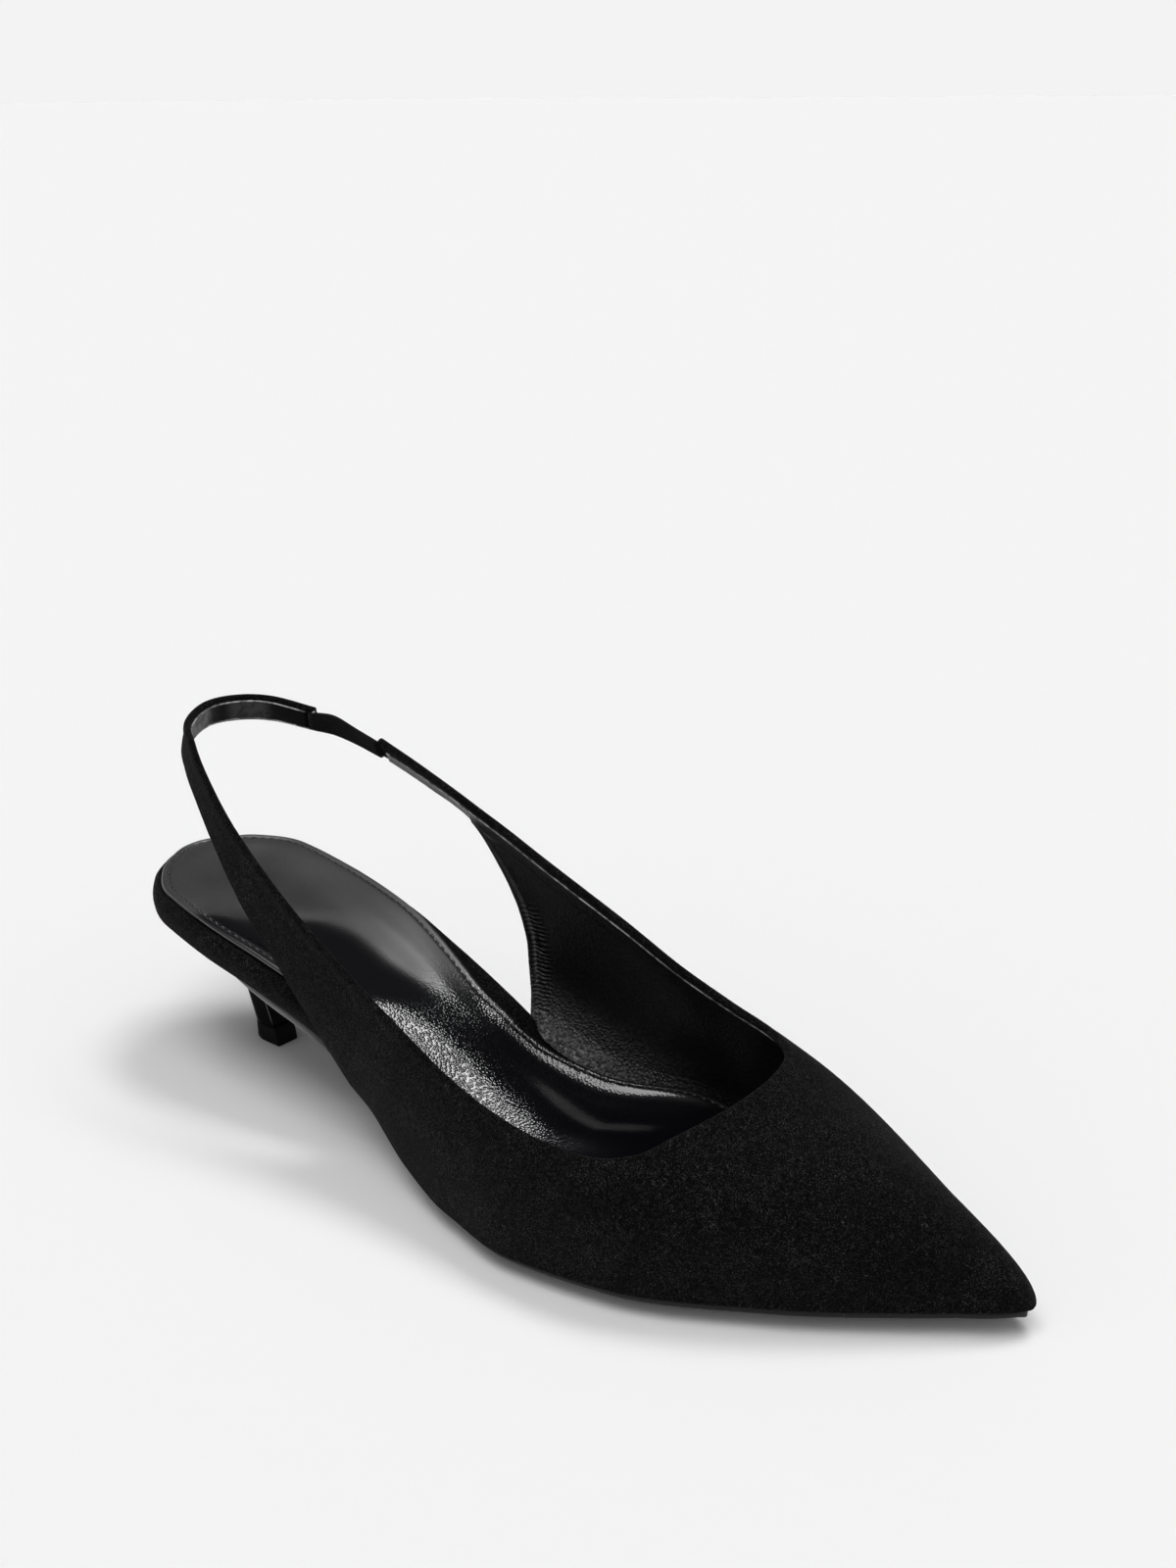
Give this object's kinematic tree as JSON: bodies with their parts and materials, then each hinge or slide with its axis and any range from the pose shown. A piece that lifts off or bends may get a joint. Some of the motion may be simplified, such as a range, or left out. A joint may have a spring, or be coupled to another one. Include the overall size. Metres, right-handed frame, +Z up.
{
  "type": "slingback pump",
  "caption": "Pointed-toe slingback pump for the right foot, with a suede upper, open back, sling strap with an elastic insert, padded sock and a low kitten heel.",
  "frame": {"origin": "centre of the bounding box on the floor the shoe stands on", "axes": "+X from the heel to the toe tip, +Y to the inner (medial) side of this right shoe, +Z up"},
  "size_m": [0.266, 0.085, 0.0984],
  "materials": {
    "suede": "black suede with a short nap",
    "sock_leather": "smooth satin black",
    "sole": "smooth black with a polished edge",
    "gloss": "black lacquer",
    "rubber": "matte black",
    "elastic": "woven matte black"
  },
  "bodies": {
    "root": {"outsole": "sole", "covered_board": "suede", "insole_sock": "sock_leather", "upper": "suede", "elastic": "elastic", "heel": "gloss", "top_piece": "rubber"}
  },
  "joints": []
}
